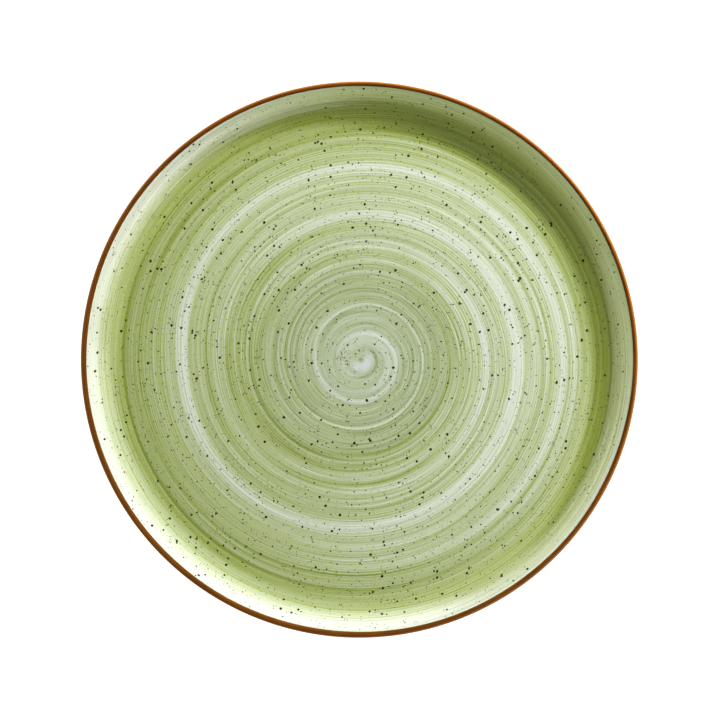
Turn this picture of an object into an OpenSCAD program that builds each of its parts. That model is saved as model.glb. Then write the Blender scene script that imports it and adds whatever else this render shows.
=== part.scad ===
// A round dinner plate of vitrified china: a flat well with a low sloping wall, a foot ring
// under it, two glaze coats on the face, one on the outside and one in the base, and a brown
// band on the lip. Every solid is a turned profile. Millimetres, +Z up, the origin at the
// centre of the plane that the foot ring stands on.

/* [Plate] */
// Diameter over the rim
plate_d = 270; // [240:1:300]
// Height from the table to the top of the rim
plate_h = 20; // [18:0.5:24]
// Thickness of the flat floor, coats included
floor_t = 4.4; // [4:0.1:5.5]

/* [Wall] */
// Slope of the wall's inner face, up from the level floor
wall_angle = 43; // [38:1:55]
// How much gentler the outer face slopes, which thickens the wall towards its root
wall_taper = 3; // [0:0.5:5]
// Radius of the bend between the floor and the inner face of the wall
cove_r = 16; // [10:0.5:20]
// Radius of the bend between the underside and the outer face of the wall
heel_r = 14; // [10:0.5:16]
// Thickness of the lip, which is rounded over
lip_t = 3.2; // [2.8:0.1:4]

/* [Foot ring] */
// Distance from the rim in to the middle of the foot ring's tread
foot_inset = 35; // [32:1:60]
// Width of the flat unglazed tread
tread_w = 3; // [2:0.5:5]
// Height of the foot ring, from the table to the underside
foot_h = 3.2; // [3:0.1:4.5]
// Slope of the foot ring's sides
foot_angle = 75; // [65:1:80]

/* [Coats] */
// Thickness of the pale speckled ground coat on the face
ground_t = 0.25; // [0.2:0.05:0.4]
// Thickness of the green brushed coat over the ground coat
swirl_t = 0.25; // [0.2:0.05:0.4]
// Thickness of the glaze on the outside of the wall and the underside
outer_t = 0.4; // [0.3:0.05:0.5]
// Where the brown band starts on the lip, measured up from its outermost point
band_angle = 120; // [60:1:130]

/* [Hidden] */

// Steps in each round stretch of a profile, and around the axis
arc_steps = 10;
turn_steps = 240;

// Roundings of the foot ring: at the tread, and where it meets the underside
toe_r = 0.8;
fillet_r = 1.5;

// Levels and radii
well_z = foot_h + floor_t;
face_t = ground_t + swirl_t;
lip_r = lip_t / 2;
outer_angle = wall_angle - wall_taper;

// Centre of the rounded lip
lip_c = [plate_d / 2 - lip_r, plate_h - lip_r];

// Centre of the cove, placed so that the inner face of the wall touches both cove and lip
cove_z = well_z + cove_r;
cove_run = ((lip_c.y - cove_z) * cos(wall_angle) + lip_r + cove_r) / sin(wall_angle);
cove_c = [lip_c.x - cove_run, cove_z];

// Centre of the heel, placed so that the outer face of the wall touches both heel and lip
heel_z = foot_h + heel_r;
heel_run = ((lip_c.y - heel_z) * cos(outer_angle) + heel_r - lip_r) / sin(outer_angle);
heel_c = [lip_c.x - heel_run, heel_z];

// Foot ring: its mean radius, and from there to the centres of the toe and of the fillet
foot_r = plate_d / 2 - foot_inset;
toe_run = tread_w / 2;
fillet_z = foot_h - fillet_r;
fillet_run = toe_run
    + (fillet_r + toe_r + (fillet_z - toe_r) * cos(foot_angle)) / sin(foot_angle);

// Points along an arc about a centre [r, z], from angle a0 to angle a1
function arc(centre, radius, a0, a1) = [
    for (i = [0 : arc_steps])
        let (a = a0 + (a1 - a0) * i / arc_steps)
            centre + radius * [cos(a), sin(a)]
];

// The same points in the opposite order
function reversed(points) = [for (i = [len(points) - 1 : -1 : 0]) points[i]];

// The face at a depth below its glazed surface, from the axis to the edge of the band
function face_line(depth) = concat(
    [[0, well_z - depth]],
    arc(cove_c, cove_r + depth, -90, wall_angle - 90),
    arc(lip_c, lip_r - depth, wall_angle + 90, band_angle)
);

// The lip at a depth, from the band's upper edge to its lower edge on the outer face
function band_line(depth) = arc(lip_c, lip_r - depth, band_angle, outer_angle - 90);

// The outside at a depth, from the band's lower edge to the top of the bare foot ring
function outer_line(depth) = concat(
    [lip_c + (lip_r - depth) * [sin(outer_angle), -cos(outer_angle)]],
    arc(heel_c, heel_r - depth, outer_angle - 90, -90),
    arc([foot_r + fillet_run, fillet_z], fillet_r + depth, 90, foot_angle + 90)
);

// The base inside the foot ring at a depth, from the bare foot ring to the axis
function base_line(depth) = concat(
    arc([foot_r - fillet_run, fillet_z], fillet_r + depth, 90 - foot_angle, 90),
    [[0, foot_h + depth]]
);

// The bare foot ring, from its outer side round the tread to its inner side
foot_line = concat(
    arc([foot_r + toe_run, toe_r], toe_r, foot_angle - 90, -90),
    arc([foot_r - toe_run, toe_r], toe_r, -90, -90 - foot_angle)
);

// Turns a closed profile of [r, z] points about the axis
module turned(profile) {
    rotate_extrude($fn = turn_steps) polygon(profile);
}

// A coat between its glazed surface and the surface that it lies on
module coat(surface, bed) {
    turned(concat(surface, reversed(bed)));
}

// The fired clay, with the foot ring, whose tread and sides are left bare
module body() {
    fillet_out = [foot_r + fillet_run, fillet_z];
    fillet_in = [foot_r - fillet_run, fillet_z];
    side_out = fillet_out + fillet_r * [cos(foot_angle + 90), sin(foot_angle + 90)];
    side_in = fillet_in + fillet_r * [cos(90 - foot_angle), sin(90 - foot_angle)];
    color([0.93, 0.91, 0.86])
        turned(concat(
            face_line(face_t),
            band_line(face_t),
            outer_line(outer_t),
            [side_out],
            foot_line,
            [side_in],
            base_line(outer_t)
        ));
}

// The pale coat next to the clay on the face
module ground_glaze() {
    color([0.87, 0.89, 0.84])
        coat(face_line(swirl_t), face_line(face_t));
}

// The green coat brushed in a spiral over the ground coat
module swirl_glaze() {
    color([0.66, 0.76, 0.45])
        coat(face_line(0), face_line(swirl_t));
}

// The brown band painted round the lip
module rim_band() {
    color([0.58, 0.32, 0.13])
        coat(band_line(0), band_line(face_t));
}

// The glaze on the outer face of the wall and on the underside, down to the foot ring
module outer_glaze() {
    color([0.84, 0.86, 0.76])
        coat(outer_line(0), outer_line(outer_t));
}

// The glaze on the recessed base inside the foot ring
module base_glaze() {
    color([0.84, 0.86, 0.76])
        coat(base_line(0), base_line(outer_t));
}

body();
ground_glaze();
swirl_glaze();
rim_band();
outer_glaze();
base_glaze();
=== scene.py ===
"""A round china dinner plate, seen from above: turned coats of glaze over a fired body.

The coats and the body are turned from the same profile as the CAD solids, in metres, with +Z up
and the origin where the foot ring stands. The face carries a green coat brushed on in a spiral: the
same few formulas give the spiral's colour in the material and its low ridges in the mesh.
"""
import math
import random

import bmesh
import bpy
import numpy as np
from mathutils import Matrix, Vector, noise


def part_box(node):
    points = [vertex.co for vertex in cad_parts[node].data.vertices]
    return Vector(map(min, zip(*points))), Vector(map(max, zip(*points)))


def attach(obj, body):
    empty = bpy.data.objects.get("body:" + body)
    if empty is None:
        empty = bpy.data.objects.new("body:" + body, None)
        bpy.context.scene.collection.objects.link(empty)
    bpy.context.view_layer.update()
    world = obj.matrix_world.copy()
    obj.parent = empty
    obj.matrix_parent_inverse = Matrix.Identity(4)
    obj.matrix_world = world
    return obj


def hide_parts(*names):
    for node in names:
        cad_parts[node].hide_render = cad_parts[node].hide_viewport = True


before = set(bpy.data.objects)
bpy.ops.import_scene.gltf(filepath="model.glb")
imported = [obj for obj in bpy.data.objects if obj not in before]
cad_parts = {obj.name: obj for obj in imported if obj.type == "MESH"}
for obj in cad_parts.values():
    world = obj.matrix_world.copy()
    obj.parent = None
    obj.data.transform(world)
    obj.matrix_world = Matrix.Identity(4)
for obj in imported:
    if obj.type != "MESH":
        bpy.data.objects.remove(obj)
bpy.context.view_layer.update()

MM = 0.001
TURN = 2 * math.pi
# Nearer to the axis than this, in mm, a point counts as on it
ON_AXIS = 1e-6
random.seed(27)


# ---- The plate's profile, in millimetres ---------------------------------------------------

# Vertices whose distances from the axis differ by less than this, in mm, are on one ring
SAME_RING = 0.1


def flat_heights(node):
    """The heights of the two flat faces in the middle of a CAD coat, in millimetres."""
    points = [v.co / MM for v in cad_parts[node].data.vertices]
    inner = min(math.hypot(p.x, p.y) for p in points)
    near = [p.z for p in points if math.hypot(p.x, p.y) < inner + SAME_RING]
    return min(near), max(near)


COAT_BED, WELL_Z = flat_heights("swirl_glaze")
FOOT_H, BASE_BED = flat_heights("base_glaze")
SWIRL_T = WELL_Z - COAT_BED
OUTER_T = BASE_BED - FOOT_H
RIM_LOW, RIM_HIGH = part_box("rim_band")
RIM_R = min(RIM_HIGH.x, RIM_HIGH.y, -RIM_LOW.x, -RIM_LOW.y) / MM
RIM_Z = RIM_HIGH.z / MM

# The wall's slopes inside and outside, in degrees, and the roundings at its foot and at the lip
WALL_ANGLE = 43
OUTER_ANGLE = 40
COVE_R = 16
HEEL_R = 14
LIP_R = 1.6
# The green coat and the pale one under it are equally thick
FACE_T = 2 * SWIRL_T
# The foot ring: how far in from the rim its middle circle runs, its flat tread, the slope of its
# sides and their roundings
FOOT_INSET = 35
FOOT_R = RIM_R - FOOT_INSET
TREAD_W = 3
FOOT_ANGLE = 75
TOE_R = 0.8
FILLET_R = 1.5


def point(centre, radius, degrees):
    """The point of a circle at an angle, as (r, z)."""
    a = math.radians(degrees)
    return centre[0] + radius * math.cos(a), centre[1] + radius * math.sin(a)


def arc(centre, radius, start, end, steps):
    """Points along an arc, both ends included."""
    return [point(centre, radius, start + (end - start) * i / steps) for i in range(steps + 1)]


def line(start, end, steps):
    """Points along a straight line, without its two ends."""
    return [tuple(np.array(start) + (np.array(end) - start) * i / steps) for i in range(1, steps)]


def sin(degrees):
    """The sine of an angle in degrees."""
    return math.sin(math.radians(degrees))


def cos(degrees):
    """The cosine of an angle in degrees."""
    return math.cos(math.radians(degrees))


# Centres of the roundings, as (r, z)
LIP = (RIM_R - LIP_R, RIM_Z - LIP_R)
COVE_Z = WELL_Z + COVE_R
COVE_RUN = ((LIP[1] - COVE_Z) * cos(WALL_ANGLE) + LIP_R + COVE_R) / sin(WALL_ANGLE)
COVE = (LIP[0] - COVE_RUN, COVE_Z)
HEEL_Z = FOOT_H + HEEL_R
HEEL_RUN = ((LIP[1] - HEEL_Z) * cos(OUTER_ANGLE) + HEEL_R - LIP_R) / sin(OUTER_ANGLE)
HEEL = (LIP[0] - HEEL_RUN, HEEL_Z)
TOE_RUN = TREAD_W / 2
FILLET_Z = FOOT_H - FILLET_R
FILLET_RUN = TOE_RUN + (
    FILLET_R + TOE_R + (FILLET_Z - TOE_R) * cos(FOOT_ANGLE)) / sin(FOOT_ANGLE)


# ---- The spiral of the brush ---------------------------------------------------------------

# Turns that the brush has made by the time it is r from its centre: a polynomial in r / 100 mm
TURNS = (7.3, -14.2, 5.75, 7.05, -0.42)
# The brush's centre, in the middle of the plate and from DRIFT_R outwards
CENTRE_IN = (1.2, -3.0)
CENTRE_OUT = (0.6, 0.2)
DRIFT_R = 30
# Where the hand wavered: clockwise angle, half width and inward step, all in turns
WAVERS = ((0.49, 0.085, 0.040), (0.11, 0.10, 0.032))
# Radii between which it wavered, in mm, and how softly that starts and ends
WAVER_R = (56, 103)
WAVER_SOFT = 6


def smooth(value, start, end):
    """0 at start, 1 at end, smooth between them; start may be the larger."""
    t = min(max((value - start) / (end - start), 0), 1)
    return t * t * (3 - 2 * t)


def brush_place(x, y):
    """Turns made by the brush at a point in millimetres, the same less the clockwise angle,
    and that angle in turns."""
    t = min(math.hypot(x, y) / DRIFT_R, 1)
    dx = x - CENTRE_IN[0] - (CENTRE_OUT[0] - CENTRE_IN[0]) * t
    dy = y - CENTRE_IN[1] - (CENTRE_OUT[1] - CENTRE_IN[1]) * t
    reach = math.hypot(dx, dy)
    turns = 0.0
    for factor in TURNS:
        turns = turns * reach / 100 + factor
    angle = (math.atan2(-dy, dx) / TURN) % 1
    wavering = (smooth(reach, WAVER_R[0] - WAVER_SOFT, WAVER_R[0] + WAVER_SOFT)
                * smooth(reach, WAVER_R[1] + WAVER_SOFT, WAVER_R[1] - WAVER_SOFT))
    step = sum(depth * smooth(abs((angle - at + 0.5) % 1 - 0.5), width, 0)
               for at, width, depth in WAVERS)
    return turns, turns - angle + wavering * step, angle


# ---- Turned meshes -------------------------------------------------------------------------

def turned(name, profile_at, segments):
    """A closed mesh turned about the axis. profile_at(angle) gives the closed profile in
    millimetres, which starts and ends on the axis or goes round clear of it."""
    first = profile_at(0)
    on_axis = first[0][0] < ON_AXIS
    rows = len(first)
    verts, faces = [], []
    if on_axis:
        verts += [(0, 0, first[0][1]), (0, 0, first[-1][1])]
        rows -= 2
    base = len(verts)
    for s in range(segments):
        a = TURN * s / segments
        ring = profile_at(a)[1:-1] if on_axis else profile_at(a)
        verts += [(r * math.cos(a), r * math.sin(a), z) for r, z in ring]
    for s in range(segments):
        here, there = base + s * rows, base + (s + 1) % segments * rows
        steps = range(rows - 1) if on_axis else range(rows)
        for i in steps:
            j = (i + 1) % rows
            faces.append((here + i, there + i, there + j, here + j))
        if on_axis:
            faces.append((0, there, here))
            faces.append((1, here + rows - 1, there + rows - 1))
    mesh = bpy.data.meshes.new(name)
    mesh.from_pydata([tuple(MM * c for c in v) for v in verts], [], faces)
    mesh.validate()
    mesh.polygons.foreach_set("use_smooth", [True] * len(mesh.polygons))
    obj = bpy.data.objects.new(name, mesh)
    bpy.context.scene.collection.objects.link(obj)
    return obj


# ---- Materials -----------------------------------------------------------------------------

def linear(*srgb):
    """A colour given as screen values from 0 to 255, as the linear colour that nodes take."""
    def one(v):
        v /= 255
        return v / 12.92 if v <= 0.04045 else ((v + 0.055) / 1.055) ** 2.4
    return tuple(one(v) for v in srgb) + (1.0,)


class Glaze:
    """A material with a Principled surface, and short calls for the nodes that feed it.

    Arguments may be numbers, vectors or the sockets that other calls return. Positions are in
    millimetres in the plate's own frame.
    """

    def __init__(self, name, **surface):
        self.material = bpy.data.materials.new(name)
        self.material.use_nodes = True
        self.tree = self.material.node_tree
        self.shader = self.tree.nodes["Principled BSDF"]
        for socket, value in surface.items():
            self.shader.inputs[socket.replace("_", " ")].default_value = value
        where = self.tree.nodes.new("ShaderNodeTexCoord").outputs["Object"]
        self.place = self.vector("SCALE", where, scale=1 / MM)
        self.x, self.y, self.z = self.split(self.place)

    def put(self, socket, value):
        """Sets a socket to a value, or links another node's socket to it."""
        if isinstance(value, bpy.types.NodeSocket):
            self.tree.links.new(value, socket)
        elif isinstance(value, tuple) and len(value) == 3 and socket.type == "RGBA":
            socket.default_value = (*value, 1.0)
        else:
            socket.default_value = value

    def math(self, operation, *values, clamp=False):
        """A number worked out from others."""
        node = self.tree.nodes.new("ShaderNodeMath")
        node.operation = operation
        node.use_clamp = clamp
        for socket, value in zip(node.inputs, values):
            self.put(socket, value)
        return node.outputs[0]

    def add(self, *values):
        total = values[0]
        for value in values[1:]:
            total = self.math("ADD", total, value)
        return total

    def sub(self, a, b):
        return self.math("SUBTRACT", a, b)

    def mul(self, *values):
        product = values[0]
        for value in values[1:]:
            product = self.math("MULTIPLY", product, value)
        return product

    def vector(self, operation, *values, scale=None):
        """A vector worked out from others, or its length or dot product."""
        node = self.tree.nodes.new("ShaderNodeVectorMath")
        node.operation = operation
        for socket, value in zip(node.inputs, values):
            self.put(socket, value)
        if scale is not None:
            self.put(node.inputs["Scale"], scale)
        return node.outputs["Value" if operation in ("LENGTH", "DOT_PRODUCT") else "Vector"]

    def split(self, vector):
        node = self.tree.nodes.new("ShaderNodeSeparateXYZ")
        self.put(node.inputs[0], vector)
        return node.outputs[0], node.outputs[1], node.outputs[2]

    def join(self, x, y, z=0.0):
        node = self.tree.nodes.new("ShaderNodeCombineXYZ")
        for socket, value in zip(node.inputs, (x, y, z)):
            self.put(socket, value)
        return node.outputs[0]

    def noise(self, where, scale, detail=2.0, roughness=0.5, distortion=0.0):
        """Noise about zero, from about -1 to 1."""
        node = self.tree.nodes.new("ShaderNodeTexNoise")
        self.put(node.inputs["Vector"], where)
        self.put(node.inputs["Scale"], scale)
        self.put(node.inputs["Detail"], detail)
        self.put(node.inputs["Roughness"], roughness)
        self.put(node.inputs["Distortion"], distortion)
        return self.math("MULTIPLY_ADD", node.outputs["Fac"], 4.0, -2.0)

    def step(self, value, start, end):
        """0 at start, 1 at end, smooth between them; start may be the larger."""
        node = self.tree.nodes.new("ShaderNodeMapRange")
        node.interpolation_type = "SMOOTHSTEP"
        self.put(node.inputs["Value"], value)
        self.put(node.inputs["From Min"], start)
        self.put(node.inputs["From Max"], end)
        return node.outputs["Result"]

    def ramp(self, value, stops):
        """A colour by value, from (value, (r, g, b)) stops in screen colours."""
        node = self.tree.nodes.new("ShaderNodeValToRGB")
        points = node.color_ramp.elements
        while len(points) < len(stops):
            points.new(0.5)
        for element, (position, colour) in zip(points, stops):
            element.position = position
            element.color = linear(*colour)
        self.put(node.inputs["Fac"], value)
        return node.outputs["Color"]

    def curve(self, value, stops):
        """A number by value, from (value, number) stops, all from 0 to 1."""
        node = self.tree.nodes.new("ShaderNodeValToRGB")
        node.color_ramp.interpolation = "EASE"
        points = node.color_ramp.elements
        while len(points) < len(stops):
            points.new(0.5)
        for element, (position, number) in zip(points, stops):
            element.position = position
            element.color = (number, number, number, 1.0)
        self.put(node.inputs["Fac"], value)
        return self.split(node.outputs["Color"])[0]

    def mix(self, factor, a, b, blend="MIX"):
        """The colour a with as much of b as the factor says."""
        node = self.tree.nodes.new("ShaderNodeMix")
        node.data_type = "RGBA"
        node.blend_type = blend
        node.clamp_factor = True
        colours = [s for s in node.inputs if s.type == "RGBA"]
        self.put(node.inputs["Factor"], factor)
        self.put(colours[0], a)
        self.put(colours[1], b)
        return [s for s in node.outputs if s.type == "RGBA"][0]

    def surface(self, colour, roughness, height=None, depth=0.1):
        """Links the colour, the roughness and a bump height in millimetres."""
        self.put(self.shader.inputs["Base Color"], colour)
        self.put(self.shader.inputs["Roughness"], roughness)
        if height is not None:
            bump = self.tree.nodes.new("ShaderNodeBump")
            bump.inputs["Strength"].default_value = 1.0
            bump.inputs["Distance"].default_value = depth * MM
            self.put(bump.inputs["Height"], height)
            self.put(self.shader.inputs["Normal"], bump.outputs["Normal"])
        return self.material

    def spiral(self):
        """The same three values as brush_place gives, at the point being shaded."""
        middle = self.join(self.x, self.y)
        t = self.math("DIVIDE", self.vector("LENGTH", middle), DRIFT_R, clamp=True)
        dx = self.sub(self.x, self.add(CENTRE_IN[0], self.mul(t, CENTRE_OUT[0] - CENTRE_IN[0])))
        dy = self.sub(self.y, self.add(CENTRE_IN[1], self.mul(t, CENTRE_OUT[1] - CENTRE_IN[1])))
        reach = self.vector("LENGTH", self.join(dx, dy))
        turns = 0.0
        for factor in TURNS:
            turns = self.math("MULTIPLY_ADD", turns, self.mul(reach, 0.01), factor)
        clockwise = self.math("ARCTAN2", self.mul(dy, -1), dx)
        angle = self.math("FRACT", self.mul(clockwise, 1 / TURN))
        wavering = self.mul(
            self.step(reach, WAVER_R[0] - WAVER_SOFT, WAVER_R[0] + WAVER_SOFT),
            self.step(reach, WAVER_R[1] + WAVER_SOFT, WAVER_R[1] - WAVER_SOFT))
        step = 0.0
        for at, width, depth in WAVERS:
            step = self.add(step, self.mul(self.step(self.off(angle, at), width, 0.0), depth))
        return turns, self.add(self.sub(turns, angle), self.mul(wavering, step)), angle

    def off(self, value, centre):
        """How far a value is from a centre, when both count in turns and whole turns don't
        matter."""
        return self.math("ABSOLUTE", self.sub(
            self.math("FRACT", self.add(value, self.sub(0.5, centre))), 0.5))

    def stroke(self, turns, across, start, end, first, last, half_width, soft=0.12):
        """1 along a brush line that runs from start to end turns along the spiral, and from
        first to last across the brush."""
        drift = (last - first) / (end - start)
        centre = self.math("MULTIPLY_ADD", self.sub(turns, start), drift, first)
        near = self.step(self.off(across, centre), half_width * 1.1, half_width * 0.2)
        along = self.mul(self.step(turns, start - soft, start + soft),
                         self.step(turns, end + soft, end - soft))
        return self.mul(near, along)


# The brush's lines: start and end in turns along the spiral, place across the brush at the
# start and at the end, half width, and how much thicker the green lies there
LINES = (
    (0.55, 1.3, 0.90, 0.86, 0.13, -0.58),
    (1.3, 2.3, 0.84, 0.95, 0.07, -0.46),
    (0.1, 0.75, 0.72, 0.60, 0.26, -0.33),
    (1.3, 3.8, 0.79, 1.02, 0.04, 0.20),
    (1.8, 3.9, 0.93, 1.09, 0.04, -0.22),
    (2.5, 3.9, 0.35, 0.42, 0.12, -0.14),
    (3.4, 4.3, 0.80, 0.85, 0.20, -0.20),
    (4.1, 5.6, 0.52, 0.42, 0.20, -0.31),
    (4.5, 5.2, 0.85, 0.88, 0.12, -0.12),
    (3.9, 5.1, 0.98, 0.98, 0.035, 0.16),
    (3.9, 5.1, 1.05, 1.07, 0.04, -0.12),
    (5.4, 6.1, 0.76, 0.72, 0.10, -0.12),
    (5.5, 6.1, 0.60, 0.56, 0.07, 0.14),
    (5.6, 6.2, 0.05, 0.07, 0.11, 0.18),
    (6.2, 7.2, 0.01, 0.153, 0.07, 0.22),
    (6.0, 6.6, 0.40, 0.60, 0.15, 0.23),
    (7.1, 7.7, 0.93, 0.97, 0.05, 0.22),
)

# Painted shadow of the rim: a crescent of deeper green where the rim's shadow falls on the cove
# on the key light's side. How far its inner circle is shifted along -X and -Y, and that circle's
# radius, in mm
RIM_SHADOW_SHIFT = (13.7, 10.7)
RIM_SHADOW_R = 128.4
# From the inner circle outwards, in mm: where the crescent comes up, and where it fades again
RIM_SHADOW_EDGE = (-5.0, 1.5)
RIM_SHADOW_FADE = (8, 20)
# Distances from the plate's axis, in mm, between which it fades in any case
RIM_SHADOW_END = (125, 131)
# How much thicker the green is painted there, to stand for the shadow
RIM_SHADOW_DEPTH = 0.38

# The distance from the axis, in mm, that counts as 1 in the tables below, just past the rim
FACE_REACH = 140
# How thickly the green lies, by distance from the axis
GREEN_BY_REACH = (
    (0.0, 0.46), (0.09, 0.50), (0.16, 0.60), (0.24, 0.71), (0.29, 0.70), (0.39, 0.57),
    (0.52, 0.44), (0.60, 0.40), (0.68, 0.41), (0.77, 0.53), (0.835, 0.63), (0.87, 0.53),
    (0.90, 0.41), (0.92, 0.16), (0.94, 0.04))
# How much more green lies on one side, by distance, and which side that is, in clockwise turns:
# partly the brush, partly painted shade on the side away from the key light
SIDE_AND_SHADE_BY_REACH = ((0.28, 0.0), (0.40, 0.16), (0.56, 0.14), (0.66, 0.04), (0.77, 0.16),
                 (0.82, 0.20), (0.86, 0.04))
GREEN_AND_SHADE_SIDE = 0.45
# How strongly the brush's hairs and its finest hairs show, by distance
HAIRS_BY_REACH = ((0.0, 0.05), (0.09, 0.26), (0.35, 0.18), (0.55, 0.06))
FINE_BY_REACH = ((0.08, 0.55), (0.15, 0.85), (0.33, 0.80), (0.45, 0.64), (0.60, 0.50), (0.85, 0.60))
# How milky the glaze is, by distance
VEIL_BY_REACH = ((0.0, 0.40), (0.12, 0.38), (0.24, 0.27), (0.43, 0.05), (0.8, 0.04), (1.0, 0.0))
# The green by its thickness, in screen colours
GREENS = (
    (0.0, (224, 232, 214)), (0.1, (209, 218, 188)), (0.25, (196, 206, 162)),
    (0.4, (184, 196, 140)), (0.55, (172, 185, 117)), (0.7, (160, 175, 94)),
    (0.85, (146, 162, 62)), (1.0, (122, 138, 18)))
# Screen colours of the milky glaze, of the bare comma, and of the thin glaze near the lip with its
# painted sheen, on the lower side and on the upper one
MILKY = (186, 196, 187)
BARE = (208, 214, 217)
THIN_AND_SHEEN_LOWER = (236, 240, 226)
THIN_AND_SHEEN_UPPER = (228, 244, 164)
# Painted shade on the wall, as a yellow tint: what that tint lets through
SHADE_YELLOW = (1.0, 1.0, 0.30)
# The side where this painted shade is strongest, the key light's side whose wall faces away from
# the light, in clockwise turns, and between which distances from the axis it comes up and fades, in
# mm
SHADE_TINT_SIDE = 0.86
SHADE_TINT_FROM = (110, 120)
SHADE_TINT_TO = (128, 135)
# Distances from the axis, in mm, between which the green thins out towards the lip and the painted
# sheen comes up
THIN_AND_SHEEN_FROM = (124.5, 130.5)
# Where it thins out less and the painted sheen is weaker: clockwise angle, how far to each side, in
# turns, and how much less
THIN_AND_SHEEN_LESS = ((0.08, 0.13, 0.04, -0.42), (0.68, 0.07, 0.01, -0.14))

# The eye of the spiral, where the brush was set down, in mm
EYE = (0.75, -0.55)
# The bare comma round it: distances from the eye between which it comes up and fades, in mm,
# where its middle is, in clockwise turns, and how far to each side it is full and ends
COMMA_FROM = (0.4, 2.4)
COMMA_TO = (4.4, 7.0)
COMMA_SIDE = 0.17
COMMA_SPAN = (0.14, 0.40)
# The drop in its middle: up to where it is full and where it ends, in mm
DROP_R = (0.5, 1.9)
# The thin arc round both, in mm: its distance from the eye on the +X side, how much farther out it
# gets in a clockwise turn, and how far from its middle line it is full and ends. Then, in turns,
# where its middle is and how far to each side it is full and ends.
ARC_R = 7.55
ARC_OPENS = 5.2
ARC_WIDTH = (0.3, 1.1)
ARC_SIDE = 0.07
ARC_SPAN = (0.12, 0.27)
# How much thicker the green lies on the comma, the drop and the arc
COMMA_DEPTH = -0.42
DROP_DEPTH = 0.42
ARC_DEPTH = 0.60
# Distances from the eye between which the brush's lines come in, in mm
LINED_FROM = (4, 14)


def start_of_brush(g):
    """Round the eye a bare comma, a drop in its middle and a thin arc. Gives the thickness that
    they add, where the comma is, and how far the brush lines have come in."""
    dx, dy = g.sub(g.x, EYE[0]), g.sub(g.y, EYE[1])
    reach = g.vector("LENGTH", g.join(dx, dy))
    angle = g.math("FRACT", g.mul(g.math("ARCTAN2", g.mul(dy, -1), dx), 1 / TURN))
    comma = g.mul(g.step(reach, *COMMA_FROM), g.step(reach, COMMA_TO[1], COMMA_TO[0]),
                  g.step(g.off(angle, COMMA_SIDE), COMMA_SPAN[1], COMMA_SPAN[0]))
    drop = g.step(reach, DROP_R[1], DROP_R[0])
    turned_on = g.sub(g.math("FRACT", g.add(angle, 0.5)), 0.5)
    arc_reach = g.math("MULTIPLY_ADD", turned_on, ARC_OPENS, ARC_R)
    from_arc = g.math("ABSOLUTE", g.sub(reach, arc_reach))
    trail = g.mul(g.step(from_arc, ARC_WIDTH[1], ARC_WIDTH[0]),
                  g.step(g.off(angle, ARC_SIDE), ARC_SPAN[1], ARC_SPAN[0]))
    thick = g.add(g.mul(comma, COMMA_DEPTH), g.mul(drop, DROP_DEPTH), g.mul(trail, ARC_DEPTH))
    return thick, comma, g.step(reach, *LINED_FROM)


def painted_rim_shadow(g, reach):
    """1 in the painted shadow of the rim, a crescent, 0 outside it, soft at its edges."""
    leaning = g.vector("LENGTH", g.join(g.add(g.x, RIM_SHADOW_SHIFT[0]),
                                        g.add(g.y, RIM_SHADOW_SHIFT[1])))
    return g.mul(
        g.step(leaning, RIM_SHADOW_R + RIM_SHADOW_EDGE[0], RIM_SHADOW_R + RIM_SHADOW_EDGE[1]),
        g.step(leaning, RIM_SHADOW_R + RIM_SHADOW_FADE[1], RIM_SHADOW_R + RIM_SHADOW_FADE[0]),
        g.step(reach, RIM_SHADOW_END[1], RIM_SHADOW_END[0]))


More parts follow.
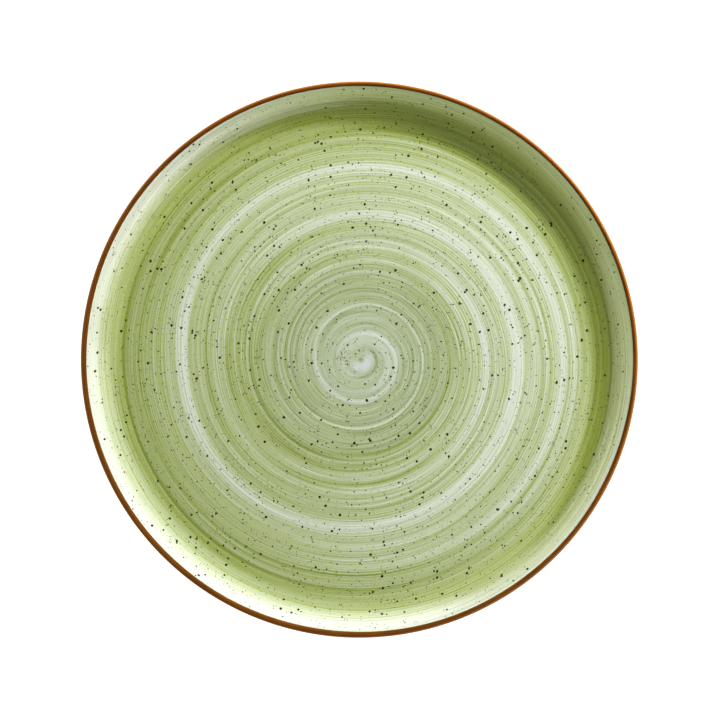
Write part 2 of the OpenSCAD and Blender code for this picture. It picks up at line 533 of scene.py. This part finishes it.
def green_swirl():
    """The brushed coat on the face: how thickly the green lies, as lines along the spiral, with the
    rim's shadow, the shade of one side and a sheen near the lip painted in.
    """
    g = Glaze("green_swirl_glaze", Coat_Weight=0.4, Coat_Roughness=0.04, Coat_IOR=1.7, IOR=1.7)
    turns, across, angle = g.spiral()
    q = g.math("FRACT", across)
    along = g.add(g.math("FLOOR", across), angle)
    reach = g.vector("LENGTH", g.join(g.x, g.y))
    out = g.mul(reach, 1 / FACE_REACH)
    hairs = g.noise(g.join(g.mul(q, 5), g.mul(along, 0.8)), 1.0, detail=2, roughness=0.9)
    fine = g.noise(g.join(g.mul(q, 38), g.mul(along, 3.5), 6.0), 1.0, detail=2, roughness=0.9)
    tracks = g.noise(g.join(g.mul(q, 2.5), g.mul(along, 1.6), 4.0), 1.0, detail=1)
    mottle = g.noise(g.place, 1.4, detail=1)
    side_and_shade = g.math("COSINE", g.mul(g.sub(angle, GREEN_AND_SHADE_SIDE), TURN))
    start, bare, lined = start_of_brush(g)
    thick = g.add(
        g.curve(out, GREEN_BY_REACH),
        # partly painted shade: greener on the side away from the key light
        g.mul(side_and_shade, g.curve(out, SIDE_AND_SHADE_BY_REACH)),
        # painted shadow of the rim, as thicker green
        g.mul(painted_rim_shadow(g, reach), RIM_SHADOW_DEPTH),
        start,
        g.mul(hairs, g.curve(out, HAIRS_BY_REACH)),
        g.mul(fine, g.curve(out, FINE_BY_REACH), g.math("MULTIPLY_ADD", lined, 0.7, 0.3)),
        g.mul(tracks, 0.04),
        g.mul(mottle, 0.08))
    for start, end, first, last, half_width, amount in LINES:
        line_here = g.stroke(turns, across, start, end, first, last, half_width)
        thick = g.add(thick, g.mul(line_here, amount))
    streaks = g.noise(g.join(g.mul(q, 9), g.mul(along, 1.2), 2.0), 1.0, detail=3, roughness=0.7)
    veil = g.math("MULTIPLY_ADD", streaks, 0.3, g.curve(out, VEIL_BY_REACH))
    colour = g.mix(veil, g.ramp(thick, GREENS), linear(*MILKY))
    colour = g.mix(g.mul(bare, 0.45), colour, linear(*BARE))
    # painted shade: the wall turned from the key light is tinted yellower, with less blue
    upper = g.math("COSINE", g.mul(g.sub(angle, SHADE_TINT_SIDE), TURN))
    shade_tint = g.mul(g.step(reach, *SHADE_TINT_FROM), g.step(reach, SHADE_TINT_TO[1], SHADE_TINT_TO[0]),
                 g.math("MULTIPLY_ADD", upper, 0.46, 0.42))
    colour = g.mix(shade_tint, colour, SHADE_YELLOW, blend="MULTIPLY")
    # near the lip the glaze is thin and pale: partly real thinning, partly a painted reflection of
    # the light on the wall
    less_thin_and_sheen = [g.mul(g.step(g.off(angle, at), far, near), amount)
            for at, far, near, amount in THIN_AND_SHEEN_LESS]
    thin_and_sheen = g.mul(g.step(reach, *THIN_AND_SHEEN_FROM),
                 g.add(0.66, *less_thin_and_sheen, g.mul(fine, -0.7), g.mul(hairs, -0.3)))
    thin_and_sheen_colour = g.mix(g.step(upper, 0.2, 0.8), linear(*THIN_AND_SHEEN_LOWER), linear(*THIN_AND_SHEEN_UPPER))
    colour = g.mix(thin_and_sheen, colour, thin_and_sheen_colour)
    rough = g.math("MULTIPLY_ADD", hairs, 0.03, 0.16, clamp=True)
    return g.surface(colour, rough, g.add(g.mul(hairs, 0.5), g.mul(fine, 0.5)), depth=0.015)


def brown_band():
    """Iron brown painted on the lip, thin and orange in places, dark along its inner edge; on the
    key light's side that edge is darker still, as painted shade.
    """
    g = Glaze("brown_band_glaze", IOR=1.25)
    angle = g.math("ARCTAN2", g.y, g.x)
    around = g.join(g.math("COSINE", angle), g.math("SINE", angle), g.mul(g.z, 0.3))
    reach = g.vector("LENGTH", g.join(g.x, g.y))
    runs = g.noise(around, 9.0, detail=4, roughness=0.6)
    grain = g.noise(g.place, 1.2, detail=3, roughness=0.6)
    inner = g.step(g.add(reach, g.mul(runs, 0.15)), RIM_R - 0.8, RIM_R - 1.5)
    lower = g.math("COSINE", g.sub(angle, math.radians(BAND_SIDE)))
    edge = g.step(reach, RIM_R - 0.6, RIM_R - 0.1)
    # the dark inner edge is real; its extra darkening on the key light's side, where the wall turns
    # from the light, is painted shade
    thick = g.add(0.52, g.mul(lower, 0.12), g.mul(runs, 0.12), g.mul(grain, 0.08),
                  g.mul(edge, -0.25), g.mul(inner, g.math("MULTIPLY_ADD", lower, -0.21, 0.31)))
    colour = g.ramp(thick, [(0.0, (216, 148, 74)), (0.35, (170, 98, 18)), (0.7, (122, 68, 1)),
                            (1.0, (68, 36, 0))])
    rough = g.math("MULTIPLY_ADD", grain, 0.05, 0.3, clamp=True)
    return g.surface(colour, rough, grain, depth=0.02)


def outside_glaze():
    """Pale glaze outside: thin green brushed round the wall, fading to ivory under it."""
    g = Glaze("outside_glaze", Coat_Weight=0.3, Coat_Roughness=0.05, IOR=1.5)
    angle = g.math("ARCTAN2", g.y, g.x)
    reach = g.vector("LENGTH", g.join(g.x, g.y))
    around = g.join(g.mul(g.math("COSINE", angle), 1.2), g.mul(g.math("SINE", angle), 1.2),
                    g.mul(g.z, 1.1))
    lines = g.noise(around, 1.0, detail=5, roughness=0.6)
    cloud = g.noise(g.place, 0.05, detail=3)
    height = g.step(g.add(g.z, g.mul(lines, 1.0), g.mul(cloud, 1.5)), 3.0, 10.0)
    thick = g.add(g.mul(height, 0.5), g.mul(lines, 0.16), g.mul(cloud, 0.04))
    colour = g.ramp(thick, [(0.0, (208, 203, 186)), (0.3, (192, 199, 158)), (0.55, (166, 181, 116)),
                            (0.9, (134, 152, 66))])
    rings = g.noise(g.join(g.mul(reach, 0.8), 0.0, 3.0), 1.0, detail=3)
    ringed = g.math("MULTIPLY_ADD", rings, 0.1, 0.1, clamp=True)
    colour = g.mix(ringed, colour, linear(214, 206, 182))
    rough = g.math("MULTIPLY_ADD", cloud, 0.04, 0.2, clamp=True)
    return g.surface(colour, rough, g.add(g.mul(lines, 0.5), g.mul(rings, 0.2)), depth=0.02)


def ground_coat():
    """The pale coat under the green."""
    g = Glaze("pale_ground_glaze", IOR=1.5)
    mottle = g.noise(g.place, 0.6, detail=4)
    tone = g.math("MULTIPLY_ADD", mottle, 0.3, 0.5)
    colour = g.ramp(tone, [(0.0, (206, 212, 204)), (1.0, (228, 232, 224))])
    return g.surface(colour, g.math("MULTIPLY_ADD", mottle, 0.05, 0.3), mottle, depth=0.02)


def bare_china():
    """Fired clay left bare on the foot ring: fine grain, ground smooth and a little grey."""
    g = Glaze("bare_china", IOR=1.45)
    grain = g.noise(g.place, 2.5, detail=5, roughness=0.7)
    reach = g.vector("LENGTH", g.join(g.x, g.y))
    round_foot = g.join(g.mul(reach, 6.0), g.mul(g.math("ARCTAN2", g.y, g.x), 9.0))
    scratches = g.noise(round_foot, 1.0, detail=3)
    tone = g.math("MULTIPLY_ADD", grain, 0.25, g.math("MULTIPLY_ADD", scratches, 0.2, 0.5))
    colour = g.ramp(tone, [(0.0, (178, 168, 150)), (0.5, (216, 208, 192)), (1.0, (232, 226, 212))])
    rough = g.math("MULTIPLY_ADD", grain, 0.06, 0.7)
    return g.surface(colour, rough, g.add(grain, scratches), depth=0.03)


def iron_speck():
    """Iron that melted out of the clay: near black, brown where it is thin."""
    g = Glaze("iron_speck", Coat_Weight=0.05, Coat_Roughness=0.1, IOR=1.3)
    tone = g.math("MULTIPLY_ADD", g.noise(g.place, 0.9, detail=3), 0.5, 0.5)
    colour = g.ramp(tone, [(0.0, (24, 30, 0)), (0.55, (40, 48, 2)), (0.85, (76, 66, 10)),
                           (1.0, (108, 80, 22))])
    return g.surface(colour, g.math("MULTIPLY_ADD", tone, 0.1, 0.2), tone, depth=0.01)


# ---- The pieces ----------------------------------------------------------------------------

# The ridge that each edge of the brush leaves: where it runs across the brush, in turns, how far
# apart two of them are, how high and how wide one is, in mm
EDGE_LINES = 0.03
BRUSH_PITCH = 18
RIDGE_H = 0.06
RIDGE_W = 0.5
# How fast the ridge swells and sinks along the spiral
RIDGE_RATE = 1.7
# The ripple of the hairs: its height in mm, and how fast it changes across and along the brush
RIPPLE_H = 0.02
RIPPLE_ACROSS = 12
RIPPLE_ALONG = 2.5
# The slow swell of the hand-turned clay: its height in mm, and how fast it changes for each mm
SWELL_H = 0.05
SWELL_RATE = 0.04
# The glaze runs off the lip: how much thinner it would be at the rim, and from how far in
THINNING_H = 0.6
THINNING_R = 7.0
# The face's mesh: its step on the flat floor in mm, and over how many of its outermost steps
# the relief fades out, so that the coat meets the band
FLOOR_STEP = 0.36
MEETING_STEPS = 3
# Parts round the axis: of most pieces, of the band and of the outside
SEGMENTS = 256
BAND_SEGMENTS = 512
OUTER_SEGMENTS = 384
# The brown band's mean width from the rim inwards, how much wider it is on one side, which side
# (counter-clockwise, in degrees), and how much it wavers
BAND_WIDTH = 2.75
BAND_LEAN = 0.3
BAND_SIDE = -130
BAND_WAVER = 0.15
# The angle on the lip where the band ends outside, and how much it wavers, in degrees
BAND_FOOT = -38
BAND_FOOT_WAVER = 9
# How fast the band's two edges waver round the plate
BAND_RATE = 2.5
BAND_FOOT_RATE = 5
# Where the lip's rounding meets the straight wall, and where the mesh starts to count as lip
LIP_BEND = WALL_ANGLE + 90
LIP_FROM = 200
# Steps of the face along the cove, the wall and the lip: on its glazed side, and under it
SEEN_STEPS = (30, 18, 12)
HIDDEN_STEPS = (8, 2, 12)
HIDDEN_FLOOR_STEPS = 6
# Steps of the outside along the lip's rounding, the wall, the heel, the underside and a fillet
EDGE_STEPS = 5
OUTER_STEPS = 12
HEEL_STEPS = 16
UNDER_STEPS = 6
FILLET_STEPS = 8
# Steps of the base from the axis to its fillet: seen, under its coat, and where specks lie
BASE_STEPS = 60
HIDDEN_BASE_STEPS = 4
SPECKED_BASE_STEPS = 12
# Steps of the band over the lip, of the body under it, and of each rounding of the foot ring
BAND_STEPS = 20
LIP_STEPS = 10
TOE_STEPS = 8
# The body's rounding under the band, in degrees: from where to where it runs
BODY_LIP = (60, -30)


def wall_slope(r):
    """The height in millimetres and the slope in degrees of the face at a radius."""
    past_floor = (r - COVE[0]) / COVE_R
    if past_floor <= 0:
        return WELL_Z, 0.0
    if past_floor < sin(WALL_ANGLE):
        bend = math.degrees(math.asin(past_floor))
        return COVE[1] - COVE_R * cos(bend), bend
    foot = point(COVE, COVE_R, WALL_ANGLE - 90)
    return foot[1] + (r - foot[0]) * math.tan(math.radians(WALL_ANGLE)), WALL_ANGLE


def relief(r, angle):
    """How far the brushed coat stands above its even surface, in millimetres."""
    x, y = r * math.cos(angle), r * math.sin(angle)
    turns, across, clockwise = brush_place(x, y)
    from_edge = ((across - EDGE_LINES + 0.5) % 1 - 0.5) * BRUSH_PITCH
    along = math.floor(across) + clockwise
    fade = 0.6 + 0.4 * noise.noise((turns * RIDGE_RATE, 5.0, 0.0))
    ridge = RIDGE_H * fade * math.exp(-(from_edge / RIDGE_W) ** 2)
    ripple = RIPPLE_H * noise.noise((across % 1 * RIPPLE_ACROSS, along * RIPPLE_ALONG, 0.0))
    swell = SWELL_H * noise.noise((x * SWELL_RATE, y * SWELL_RATE, 3.0))
    thinned = THINNING_H * smooth(r, RIM_R - THINNING_R, RIM_R) ** 2
    return ridge + ripple + swell - thinned


def lip_at(place, depth):
    """A point of the lip at a depth. Its place is an angle on the rounding; past the rounding
    it runs on down the wall at the same length for each degree."""
    bend = min(place, LIP_BEND)
    r, z = point(LIP, LIP_R - depth, bend)
    run = math.radians(place - bend) * LIP_R
    return r - run * cos(WALL_ANGLE), z - run * sin(WALL_ANGLE)


def lip_run(start, end, depth, steps):
    """Points along the lip at a depth, from one place to another."""
    return [lip_at(start + (end - start) * i / steps, depth) for i in range(steps + 1)]


def round_noise(angle, rate, height):
    """Noise that joins up with itself round the plate."""
    return noise.noise((rate * math.cos(angle), rate * math.sin(angle), height))


def band_top(angle):
    """The place on the lip where the brown starts, which a brush held by hand makes uneven."""
    width = (BAND_WIDTH + BAND_LEAN * math.cos(angle - math.radians(BAND_SIDE))
             + BAND_WAVER * round_noise(angle, BAND_RATE, 0.0))
    rounded = LIP_R * (1 + sin(WALL_ANGLE))
    if width < rounded:
        return math.degrees(math.acos((LIP_R - width) / LIP_R))
    return LIP_BEND + math.degrees((width - rounded) / cos(WALL_ANGLE) / LIP_R)


def band_foot(angle):
    """The angle on the lip where the brown ends outside."""
    return BAND_FOOT + BAND_FOOT_WAVER * round_noise(angle, BAND_FOOT_RATE, 7.0)


def face_surface(angle, depth=0.0, fine=True):
    """The face at a depth under its glazed surface, from the axis to the edge of the band."""
    floor_steps = round(COVE[0] / FLOOR_STEP) if fine else HIDDEN_FLOOR_STEPS
    bend_steps, wall_steps, lip_steps = SEEN_STEPS if fine else HIDDEN_STEPS
    cove_end = point(COVE, COVE_R + depth, WALL_ANGLE - 90)
    middle, cove_start = (0.0, WELL_Z - depth), (COVE[0], WELL_Z - depth)
    flat = [middle] + line(middle, cove_start, floor_steps)
    bend = arc(COVE, COVE_R + depth, -90, WALL_ANGLE - 90, bend_steps)
    wall = line(cove_end, lip_at(LIP_FROM, depth), wall_steps)
    lip = lip_run(LIP_FROM, band_top(angle), depth, lip_steps)
    return flat + bend + wall + lip


def face_profile(angle):
    """The green coat: its brushed surface, and back along the surface under it."""
    top = face_surface(angle)
    raised = []
    for i, (r, z) in enumerate(top):
        slope = wall_slope(r)[1]
        keep = min(1, (len(top) - 1 - i) / MEETING_STEPS)
        lift = relief(r, angle) * keep
        raised.append((r - lift * sin(slope), z + lift * cos(slope)) if i else (r, z))
    return raised + face_surface(angle, SWIRL_T, fine=False)[::-1]


def band_profile(angle):
    """The brown band: its surface from the wall over the lip, and back under it."""
    top, foot = band_top(angle), band_foot(angle)
    return lip_run(top, foot, 0.0, BAND_STEPS) + lip_run(foot, top, FACE_T, BAND_STEPS)


def outer_surface(angle, depth):
    """The outside at a depth, from the lower edge of the band to the bare foot ring."""
    lip_end = point(LIP, LIP_R - depth, OUTER_ANGLE - 90)
    heel_start = point(HEEL, HEEL_R - depth, OUTER_ANGLE - 90)
    heel_end = (HEEL[0], FOOT_H + depth)
    fillet = (FOOT_R + FILLET_RUN, FILLET_Z)
    return (arc(LIP, LIP_R - depth, band_foot(angle), OUTER_ANGLE - 90, EDGE_STEPS)
            + line(lip_end, heel_start, OUTER_STEPS)
            + arc(HEEL, HEEL_R - depth, OUTER_ANGLE - 90, -90, HEEL_STEPS)
            + line(heel_end, (fillet[0], FOOT_H + depth), UNDER_STEPS)
            + arc(fillet, FILLET_R + depth, 90, FOOT_ANGLE + 90, FILLET_STEPS))


def outer_profile(angle):
    """The outside coat: its surface from the band to the foot ring, and back under it."""
    return outer_surface(angle, 0.0) + outer_surface(angle, OUTER_T)[::-1]


def base_surface(depth, steps):
    """The recessed base at a depth, from the axis to the bare foot ring."""
    fillet = (FOOT_R - FILLET_RUN, FILLET_Z)
    middle, edge = (0.0, FOOT_H + depth), (fillet[0], FOOT_H + depth)
    return ([middle] + line(middle, edge, steps)
            + arc(fillet, FILLET_R + depth, 90, 90 - FOOT_ANGLE, FILLET_STEPS))


def base_profile(angle):
    """The coat inside the foot ring, which is the same all round."""
    return base_surface(0.0, BASE_STEPS) + base_surface(OUTER_T, HIDDEN_BASE_STEPS)[::-1]


def body_profile(angle):
    """The fired clay between the coats, with the bare foot ring."""
    foot = (arc((FOOT_R + TOE_RUN, TOE_R), TOE_R, FOOT_ANGLE - 90, -90, TOE_STEPS)
            + arc((FOOT_R - TOE_RUN, TOE_R), TOE_R, -90, -90 - FOOT_ANGLE, TOE_STEPS))
    side_out = point((FOOT_R + FILLET_RUN, FILLET_Z), FILLET_R, FOOT_ANGLE + 90)
    side_in = point((FOOT_R - FILLET_RUN, FILLET_Z), FILLET_R, 90 - FOOT_ANGLE)
    return (face_surface(0, FACE_T, fine=False) + arc(LIP, LIP_R - FACE_T, *BODY_LIP, LIP_STEPS)
            + outer_surface(0, OUTER_T)[EDGE_STEPS - 1:] + [side_out] + foot + [side_in]
            + base_surface(OUTER_T, HIDDEN_BASE_STEPS)[::-1])


def finish_piece(obj, material, slot, *nodes):
    """Dresses a piece, puts it on the plate and lets it stand for its CAD solids."""
    obj.data.materials.clear()
    obj.data.materials.append(material)
    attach(obj, "root")
    if nodes:
        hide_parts(*nodes)
    return obj


# Edges that turn by more than this stay crisp
SHARP = math.radians(35)
# Points nearer than this, in metres, are one
SAME_POINT = 1e-7


def clean(obj):
    """Turns all faces outwards and keeps the cut edges of the coats crisp."""
    work = bmesh.new()
    work.from_mesh(obj.data)
    bmesh.ops.remove_doubles(work, verts=work.verts, dist=SAME_POINT)
    bmesh.ops.recalc_face_normals(work, faces=work.faces)
    work.to_mesh(obj.data)
    work.free()
    obj.data.set_sharp_from_angle(angle=SHARP)
    return obj


face = clean(turned("brushed_face_glaze", face_profile, SEGMENTS))
finish_piece(face, green_swirl(), "green_glaze", "swirl_glaze")
band = clean(turned("painted_rim_band", band_profile, BAND_SEGMENTS))
finish_piece(band, brown_band(), "brown_glaze", "rim_band")
outside = outside_glaze()
outer = clean(turned("outer_wall_glaze", outer_profile, OUTER_SEGMENTS))
finish_piece(outer, outside, "outside_glaze", "outer_glaze")
base = clean(turned("recessed_base_glaze", base_profile, SEGMENTS))
finish_piece(base, outside, "outside_glaze", "base_glaze")
body = clean(turned("fired_body", body_profile, SEGMENTS))
finish_piece(body, bare_china(), "china", "body")
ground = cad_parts["ground_glaze"]
ground.data.materials.clear()
ground.data.materials.append(ground_coat())


# Iron specks, in mm: how far one's rim stands above the glaze, how far its root goes down, and
# how far its top stands up: at least, for each millimetre of its half width, and at most
SPECK_RIM = 0.015
SPECK_ROOT = 0.06
SPECK_LOW = 0.03
SPECK_RISE = 0.08
SPECK_TOP = 0.06
# A speck's outline: its sides, how wide it is for its length, and how ragged it is
SPECK_SIDES = 8
SPECK_STRETCH = (0.75, 1.0)
SPECK_RAGGED = (0.8, 1.15)


def speck_size(least, largest):
    """A random half width: many small specks and a few large ones."""
    return min(largest, least * (1 - random.random()) ** (-1 / 3))


def speck_cloud(name, count, place, least, largest):
    """Irregular low domes of iron, each closed. place() gives a random spot as a point and a
    normal in millimetres."""
    verts, faces = [], []
    for _ in range(count):
        spot, normal = place()
        size = speck_size(least, largest)
        across = normal.orthogonal().normalized()
        up = normal.cross(across)
        stretch, turn = random.uniform(*SPECK_STRETCH), random.uniform(0, TURN)
        start = len(verts)
        for i in range(SPECK_SIDES):
            a = TURN * i / SPECK_SIDES
            reach = size * random.uniform(*SPECK_RAGGED)
            flat = (math.cos(a + turn) * reach, math.sin(a + turn) * reach * stretch)
            verts.append(spot + across * flat[0] + up * flat[1] + normal * SPECK_RIM)
        top, root = start + SPECK_SIDES, start + SPECK_SIDES + 1
        verts.append(spot + normal * min(SPECK_TOP, SPECK_LOW + size * SPECK_RISE))
        verts.append(spot - normal * SPECK_ROOT)
        for i in range(SPECK_SIDES):
            j = (i + 1) % SPECK_SIDES
            faces.append((start + i, start + j, top))
            faces.append((start + j, start + i, root))
    mesh = bpy.data.meshes.new(name)
    mesh.from_pydata([tuple(v * MM) for v in verts], [], faces)
    mesh.polygons.foreach_set("use_smooth", [True] * len(mesh.polygons))
    obj = bpy.data.objects.new(name, mesh)
    bpy.context.scene.collection.objects.link(obj)
    return obj


# The outermost speck on the face lies here, in mm from the axis, clear of the brown band
SPECKS_TO = LIP[0] - 1.8


def face_spot():
    """A random spot on the face, as speck_cloud takes it."""
    r, a = math.sqrt(random.random()) * SPECKS_TO, random.uniform(0, TURN)
    z, slope = wall_slope(r)
    lift = relief(r, a)
    out = Vector((math.cos(a), math.sin(a), 0))
    normal = (Vector((0, 0, 1)) * cos(slope) - out * sin(slope)).normalized()
    return out * r + Vector((0, 0, z)) + normal * lift, normal


def spots_along(profile):
    """A function that gives random spots on the surface that a profile turns, as speck_cloud
    takes them. The clay lies to the left of the way the profile runs."""
    ends = list(zip(profile[:-1], profile[1:]))
    areas = [math.hypot(b[0] - a[0], b[1] - a[1]) * (a[0] + b[0]) for a, b in ends]

    def spot():
        (r0, z0), (r1, z1) = random.choices(ends, areas)[0]
        t, a = random.random(), random.uniform(0, TURN)
        out = Vector((math.cos(a), math.sin(a), 0))
        normal = (out * (z0 - z1) + Vector((0, 0, r1 - r0))).normalized()
        return out * (r0 + (r1 - r0) * t) + Vector((0, 0, z0 + (z1 - z0) * t)), normal
    return spot


# The middle of the fine specks that gathered to the left of the eye, and their spread, in mm
EYE_SPECKS = (-7.5, 0.3)
EYE_SPREAD = 2.6


def eye_spot():
    """A random spot among those fine specks, as speck_cloud takes it."""
    x, y = (random.gauss(centre, EYE_SPREAD) for centre in EYE_SPECKS)
    lift = relief(math.hypot(x, y), math.atan2(y, x))
    return Vector((x, y, WELL_Z + lift)), Vector((0, 0, 1))


# The outside and the base as far as they carry specks: short of the band and of the fillets
SPECKED_WALL = outer_surface(0, 0.0)[EDGE_STEPS - 1:-(FILLET_STEPS + 1)]
SPECKED_BASE = base_surface(0.0, SPECKED_BASE_STEPS)[:-(FILLET_STEPS + 1)][::-1]
# Each cloud's name, number of specks, random spots, and least and largest half width in mm
IRON_SPECKS = (
    ("iron_specks_face", 6000, face_spot, 0.2, 0.75),
    ("iron_specks_eye", 110, eye_spot, 0.12, 0.24),
    ("iron_specks_wall", 1500, spots_along(SPECKED_WALL), 0.2, 0.6),
    ("iron_specks_base", 1000, spots_along(SPECKED_BASE), 0.2, 0.6),
)
iron = iron_speck()
for name, count, place, least, largest in IRON_SPECKS:
    finish_piece(speck_cloud(name, count, place, least, largest), iron, "brown_glaze")


# ---- Floor, light and camera ---------------------------------------------------------------

def aim(obj, target):
    """Turns a lamp or the camera to face a point."""
    direction = Vector(target) - obj.location
    obj.rotation_euler = direction.to_track_quat("-Z", "Y").to_euler()


# The lights all face this point, in metres
LIGHTS_AIM = (0, 0, 0.01)


def from_sky(azimuth, elevation, distance):
    """A place round the plate, azimuth counter-clockwise from +X, in metres."""
    level = cos(elevation)
    return Vector((cos(azimuth) * level, sin(azimuth) * level, sin(elevation))) * distance


def softbox(name, azimuth, elevation, distance, size, radiance, diffuse=True, glossy=True):
    """A lit panel facing the plate; radiance 1 is as bright as white paper in full light."""
    data = bpy.data.lights.new(name, "AREA")
    data.shape = "RECTANGLE"
    data.size, data.size_y = size
    data.energy = radiance * math.pi * size[0] * size[1]
    lamp = bpy.data.objects.new(name, data)
    lamp.location = from_sky(azimuth, elevation, distance)
    aim(lamp, LIGHTS_AIM)
    lamp.visible_camera = False
    lamp.visible_diffuse = diffuse
    lamp.visible_glossy = glossy
    bpy.context.scene.collection.objects.link(lamp)
    return lamp


# The key light and a wide soft one overhead light the plate
key = softbox("key", 52, 29.5, 1.1, (1.0, 0.12), 42.5, glossy=False)
softbox("overhead", 0, 90, 1.5, (2.0, 2.0), 0.6, glossy=False)
# Low panels that only show as reflections in the wall. Three behind one another on the key's side,
# each higher, narrower and dimmer: width, elevation, height, radiance
KEY_LOW = ((3.2, 6, 0.19, 1.55), (2.7, 10, 0.36, 1.0), (2.2, 17, 0.56, 0.66))
for width, elevation, height, radiance in KEY_LOW:
    softbox("key_low", 54, elevation, 0.9, (width, height), radiance, diffuse=False)
softbox("left_low", 161, 6, 0.9, (1.5, 0.18), 3.2, diffuse=False)
softbox("right_low", -47, 6, 0.9, (1.5, 0.18), 9.7, diffuse=False)

world = bpy.data.worlds.new("studio")
bpy.context.scene.world = world
world.use_nodes = True
sky = world.node_tree.nodes["Background"]
sky.inputs["Color"].default_value = (0.95, 0.97, 1.0, 1.0)
sky.inputs["Strength"].default_value = 0.24

# Half the floor's width and the distance of the wall behind, in metres
HALF = 4.0


def white_paper(name, emission, roughness):
    """A plain white material that shines a little by itself."""
    paper = bpy.data.materials.new(name)
    paper.use_nodes = True
    sheet = paper.node_tree.nodes["Principled BSDF"]
    sheet.inputs["Base Color"].default_value = (0.9, 0.9, 0.9, 1.0)
    sheet.inputs["Emission Color"].default_value = (1.0, 1.0, 1.0, 1.0)
    sheet.inputs["Emission Strength"].default_value = emission
    sheet.inputs["Roughness"].default_value = roughness
    return paper


def studio_piece(name, verts, faces, material):
    """A mesh for the studio round the plate."""
    mesh = bpy.data.meshes.new(name)
    mesh.from_pydata(verts, [], faces)
    mesh.materials.append(material)
    obj = bpy.data.objects.new(name, mesh)
    bpy.context.scene.collection.objects.link(obj)
    return obj


corners = [(-HALF, -HALF, 0), (HALF, -HALF, 0), (HALF, HALF, 0), (-HALF, HALF, 0)]
floor = studio_piece("floor", corners, [(0, 1, 2, 3)], white_paper("white_paper", 0.8, 0.8))
# The key light leaves the floor alone, so the only shadow there is the soft one from overhead
unlit = bpy.data.collections.new("not_lit_by_key")
unlit.objects.link(floor)
unlit.collection_objects[0].light_linking.link_state = "EXCLUDE"
key.light_linking.receiver_collection = unlit

# A plain white wall behind, far away, which gives the plate neither light nor reflections
SIDES = 96
WALL_LOW, WALL_HIGH = -0.02, 3.0
ring = [(HALF * cos(360 * i / SIDES), HALF * sin(360 * i / SIDES)) for i in range(SIDES)]
backdrop = studio_piece(
    "backdrop",
    [(x, y, WALL_LOW) for x, y in ring] + [(x, y, WALL_HIGH) for x, y in ring],
    [(i, (i + 1) % SIDES, (i + 1) % SIDES + SIDES, i + SIDES) for i in range(SIDES)],
    white_paper("white_backdrop", 1.0, 0.5))
for unseen in ("diffuse", "glossy", "transmission", "volume_scatter", "shadow"):
    setattr(backdrop, "visible_" + unseen, False)

# The camera looks almost straight down. It aims at the rim's height, and the picture is so many
# times as wide as the plate.
AIM = Vector((0.0003, -0.00123, RIM_Z * MM))
ELEVATION = 87
PICTURE_WIDTH = 1.29

scene = bpy.context.scene
scene.view_settings.view_transform = "Standard"
lens = bpy.data.cameras.new("camera")
lens.lens = 100
lens.sensor_width = 36
lens.clip_start, lens.clip_end = 0.05, 20
camera = bpy.data.objects.new("camera", lens)
scene.collection.objects.link(camera)
distance = PICTURE_WIDTH * 2 * RIM_R * MM * lens.lens / lens.sensor_width
camera.location = AIM + Vector((0, -cos(ELEVATION), sin(ELEVATION))) * distance
aim(camera, AIM)
scene.camera = camera
